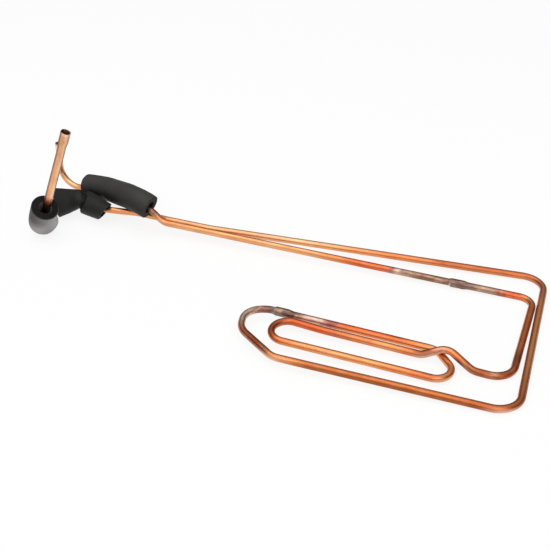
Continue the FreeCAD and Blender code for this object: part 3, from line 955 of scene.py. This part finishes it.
# Where the torch and handling have left a mottled scale, and how strong it is
coil_mottle = [
    (0, 1.0), (44, 0.8), (54, 0.3), (110, 0.15), (450, 0.15), (462, 0.6), (545, 0.5), (600, 0.25),
    (coil_end - 50, 0.3), (coil_end - 42, 1.0)]
feed_mottle = [(0, 0.2), (850, 0.15), (870, 0.4), (feed_end - 60, 0.5), (feed_end - 50, 1.0)]
return_mottle = [(60, 1.0), (72, 0.3), (130, 0.1)]
riser_mottle = [(0, 0.1), (riser_end - 40, 0.25), (riser_end, 0.6)]
for piece, name, length, zones, side_shading, mottle in (
        (coil, "copper_of_coil", coil_end, coil_zones, coil_side_shading, coil_mottle),
        (feed, "copper_of_feed", feed_end, feed_zones, feed_side_shading, feed_mottle),
        (outlet, "copper_of_return", return_end, return_zones, return_side_shading, return_mottle),
        (riser, "copper_of_riser", riser_end, riser_zones, riser_side_shading, riser_mottle)):
    piece.data.materials.append(copper(name, length, zones, side_shading, mottle))


BRAZE = linear(190, 169, 155)
BRAZE_STAIN = linear(118, 101, 90)


def braze_metal():
    m = Nodes("braze")
    place = m.new("ShaderNodeTexCoord").outputs["Object"]
    lumps = m.noise(place, 900.0, 3.0, 0.6)
    stain = m.noise(place, 260.0, 2.0, 0.5)
    colour = m.mix(m.range(stain, 0.4, 0.65), BRAZE, BRAZE_STAIN)
    shader = m.new("ShaderNodeBsdfPrincipled")
    shader.inputs["Metallic"].default_value = 1.0
    m.link(colour, shader.inputs["Base Color"])
    m.link(m.range(lumps, 0.3, 0.7, 0.28, 0.5), shader.inputs["Roughness"])
    m.link(m.bump(lumps, 0.35, 0.0003), shader.inputs["Normal"])
    m.link(shader.outputs[0], m.out.inputs[0])
    return m.material


braze_material = braze_metal()
for piece in fillets:
    piece.data.materials.append(braze_material)


FOAM_PALE = linear(222, 221, 219)
FOAM_CREASE_SHADE = linear(5, 5, 4)


def foam(name, skins, ends):
    """Black closed-cell foam: a fine skin, paler where it is stretched and where a sheen and light are
    painted, with painted shade in a crease, and open cells where it is cut. "skins" and "ends" are each
    the darkest and the palest tone."""
    m = Nodes(name)
    place = m.new("ShaderNodeTexCoord").outputs["Object"]
    cells = m.noise(place, 2600.0, 2.0, 0.6)
    grain = m.noise(place, 700.0, 3.0, 0.6)
    cloud = m.noise(place, 60.0, 2.0, 0.5)
    cut = m.attribute("cut", "Fac")
    stretch_and_painted_light = m.attribute("stretch_and_painted_light", "Fac")
    skin = m.mix(m.range(cloud, 0.35, 0.7), *skins)
    # Paler where the skin is stretched, and a painted sheen and painted light where it faces a given way
    skin = m.mix(m.range(stretch_and_painted_light, 0.0, -1.0), skin, FOAM_PALE)
    # Painted shade deep in a crease
    skin = m.mix(m.range(stretch_and_painted_light, 0.0, 0.7, 0.0, 0.97), skin, FOAM_CREASE_SHADE)
    open_cells = m.mix(m.range(cells, 0.4, 0.62), *ends)
    colour = m.mix(cut, skin, open_cells)
    shader = m.new("ShaderNodeBsdfPrincipled")
    m.link(colour, shader.inputs["Base Color"])
    shader.inputs["Specular IOR Level"].default_value = 0.22
    m.link(m.math("ADD", m.range(grain, 0.3, 0.7, 0.5, 0.66), m.math("MULTIPLY", cut, 0.3)),
           shader.inputs["Roughness"])
    # The cells show fully on a cut end and faintly through the skin
    cell_height = m.math("MULTIPLY", cells, m.math("ADD", m.math("MULTIPLY", cut, 0.85), 0.15))
    m.link(m.bump(cell_height, 0.5, 0.0004, m.bump(grain, 0.12, 0.0003)), shader.inputs["Normal"])
    m.link(shader.outputs[0], m.out.inputs[0])
    return m.material


ELBOW_ENDS = linear(9, 8, 8), linear(30, 28, 27)
# Paler cut ends for the kinked and long sleeves than for the elbow: painted light on ends that turn down,
# away from the lamps
PAINTED_LIGHT_ENDS = linear(34, 33, 32), linear(66, 64, 62)
for piece, name, skins, ends in (
        (elbow, "foam_elbow", (linear(33, 32, 30), linear(40, 39, 37)), ELBOW_ENDS),
        (kinked, "foam_kinked", (linear(27, 26, 25), linear(34, 33, 32)), PAINTED_LIGHT_ENDS),
        (long_sleeve, "foam_long", (linear(26, 25, 24), linear(33, 32, 30)), PAINTED_LIGHT_ENDS)):
    piece.data.materials.append(foam(name, skins, ends))


# Table, light and camera

FLOOR_HALF = 6.0            # metres, half of its side
FLOOR_DROP = 0.0002         # metres, below what lies on it
FLOOR_WHITE = 0.86          # share of plain white that the camera sees; the rest keeps the shadow
FLOOR_TONES = (0.90, 0.90, 0.90), (0.94, 0.94, 0.94)


def table():
    h = FLOOR_HALF
    mesh = bpy.data.meshes.new("table_top")
    mesh.from_pydata([(-h, -h, 0), (h, -h, 0), (h, h, 0), (-h, h, 0)], [], [(0, 1, 2, 3)])
    floor = bpy.data.objects.new("table_top", mesh)
    bpy.context.scene.collection.objects.link(floor)
    floor.location.z = -FLOOR_DROP
    m = Nodes("white_table")
    path = m.new("ShaderNodeLightPath")
    seen = m.math("MAXIMUM", path.outputs["Is Glossy Ray"], path.outputs["Is Transmission Ray"])
    seen = m.math("MAXIMUM", path.outputs["Is Camera Ray"], seen)
    grain = m.noise(m.new("ShaderNodeTexCoord").outputs["Object"], 900.0, 2.0)
    matt = m.new("ShaderNodeBsdfDiffuse")
    m.link(m.mix(m.range(grain, 0.3, 0.7), *FLOOR_TONES), matt.inputs["Color"])
    white = m.new("ShaderNodeEmission")
    white.inputs["Strength"].default_value = 1.0
    both = m.new("ShaderNodeMixShader")
    m.link(m.math("MULTIPLY", seen, FLOOR_WHITE), both.inputs[0])
    m.link(matt.outputs[0], both.inputs[1])
    m.link(white.outputs[0], both.inputs[2])
    m.link(both.outputs[0], m.out.inputs[0])
    mesh.materials.append(m.material)


# The studio's brightness, over the height of the direction and over how far it is in front:
# from where, to where, brightness there, brightness here
SKY_ABOVE = (0.30, 0.95, 0.12, 0.85)
SKY_FRONT = (0.0, 0.7, 0.0, 0.90)


def world():
    """White behind the object, and a studio that is bright above and in front and darker round it."""
    scene = bpy.context.scene
    scene.world = bpy.data.worlds.new("studio")
    scene.world.use_nodes = True
    tree = scene.world.node_tree
    tree.nodes.clear()

    def add(kind, **settings):
        node = tree.nodes.new("ShaderNode" + kind)
        for key, value in settings.items():
            setattr(node, key, value)
        return node

    def band(value, limits):
        node = add("MapRange", interpolation_type="SMOOTHSTEP")
        for k, limit in enumerate(limits, 1):
            node.inputs[k].default_value = limit
        tree.links.new(value, node.inputs[0])
        return node.outputs[0]

    def background(strength):
        node = add("Background")
        node.inputs["Color"].default_value = (1, 1, 1, 1)
        node.inputs["Strength"].default_value = strength
        return node

    split = add("SeparateXYZ")
    tree.links.new(add("TexCoord").outputs["Generated"], split.inputs[0])
    ahead = add("Math", operation="MULTIPLY")
    ahead.inputs[1].default_value = -1.0
    tree.links.new(split.outputs[1], ahead.inputs[0])
    total = add("Math", operation="MAXIMUM")
    tree.links.new(band(split.outputs[2], SKY_ABOVE), total.inputs[0])
    tree.links.new(band(ahead.outputs[0], SKY_FRONT), total.inputs[1])
    light, white = background(1.0), background(1.0)
    tree.links.new(total.outputs[0], light.inputs["Strength"])
    both = add("MixShader")
    tree.links.new(add("LightPath").outputs["Is Camera Ray"], both.inputs[0])
    tree.links.new(light.outputs[0], both.inputs[1])
    tree.links.new(white.outputs[0], both.inputs[2])
    tree.links.new(both.outputs[0], add("OutputWorld").inputs[0])


def softbox(name, place, size, power):
    light = bpy.data.lights.new(name, "AREA")
    light.shape = "RECTANGLE"
    light.size, light.size_y = size
    light.energy = power
    lamp = bpy.data.objects.new(name, light)
    bpy.context.scene.collection.objects.link(lamp)
    lamp.location = place
    lamp.rotation_euler = (-Vector(place)).to_track_quat("-Z", "Y").to_euler()


table()
world()
softbox("softbox_above", (-0.3, -0.5, 1.7), (2.6, 2.0), 17.0)
softbox("softbox_front", (0.9, -1.5, 1.2), (1.6, 1.2), 6.0)


def camera():
    pitch, roll = math.radians(PITCH), math.radians(ROLL)
    right = Vector((1, 0, 0))
    ahead = Vector((0, math.cos(pitch), -math.sin(pitch)))
    down = Vector((0, -math.sin(pitch), -math.cos(pitch)))
    rolled_right = right * math.cos(roll) + down * math.sin(roll)
    rolled_down = down * math.cos(roll) - right * math.sin(roll)
    turn = Matrix.Rotation(math.radians(LOOP_TURN), 3, "Z")
    axes = [turn @ v for v in (rolled_right, -rolled_down, -ahead)]
    place = turn @ (-ahead * DISTANCE)
    in_loop = Matrix([(*row, p) for row, p in zip(Matrix(axes).transposed(), place)] + [(0, 0, 0, 1)])
    world_matrix = home @ in_loop
    where = world_matrix.to_translation()
    turned = world_matrix.to_quaternion().to_matrix().to_4x4()
    data = bpy.data.cameras.new("camera")
    data.sensor_width = SENSOR
    data.lens = FOCAL / IMAGE * SENSOR
    data.shift_x = -OFF_CENTRE / IMAGE
    data.shift_y = OFF_CENTRE / IMAGE
    data.clip_start, data.clip_end = CLIP
    eye = bpy.data.objects.new("camera", data)
    bpy.context.scene.collection.objects.link(eye)
    eye.matrix_world = Matrix.Translation(where) @ turned
    bpy.context.scene.camera = eye


camera()
bpy.context.scene.view_settings.view_transform = "Standard"
